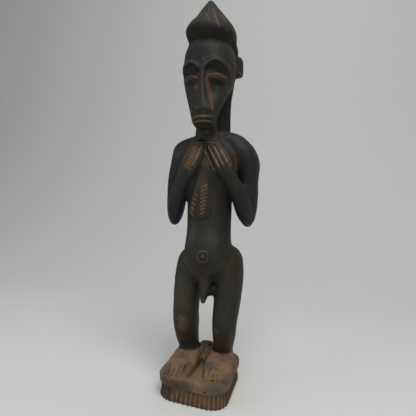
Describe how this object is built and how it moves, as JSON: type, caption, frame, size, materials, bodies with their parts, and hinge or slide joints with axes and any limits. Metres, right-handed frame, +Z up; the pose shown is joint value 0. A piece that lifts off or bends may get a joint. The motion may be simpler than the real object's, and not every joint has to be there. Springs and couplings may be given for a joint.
{
  "type": "carved standing figure",
  "caption": "Carved wooden standing male figure with a pointed coiffure and raised hands, cut in one with a fluted rounded plinth.",
  "frame": {"origin": "on the plinth's flat underside, below the figure's neck", "axes": "+Z up from the plinth to the tip of the crest; the figure faces -Y and its left side is +X"},
  "size_m": [0.1041, 0.0909, 0.4214],
  "materials": {
    "dark_patinated_wood": "satin near-black patina, worn brown on the feet and plinth"
  },
  "bodies": {
    "root": {"figure": "dark_patinated_wood"}
  },
  "joints": []
}
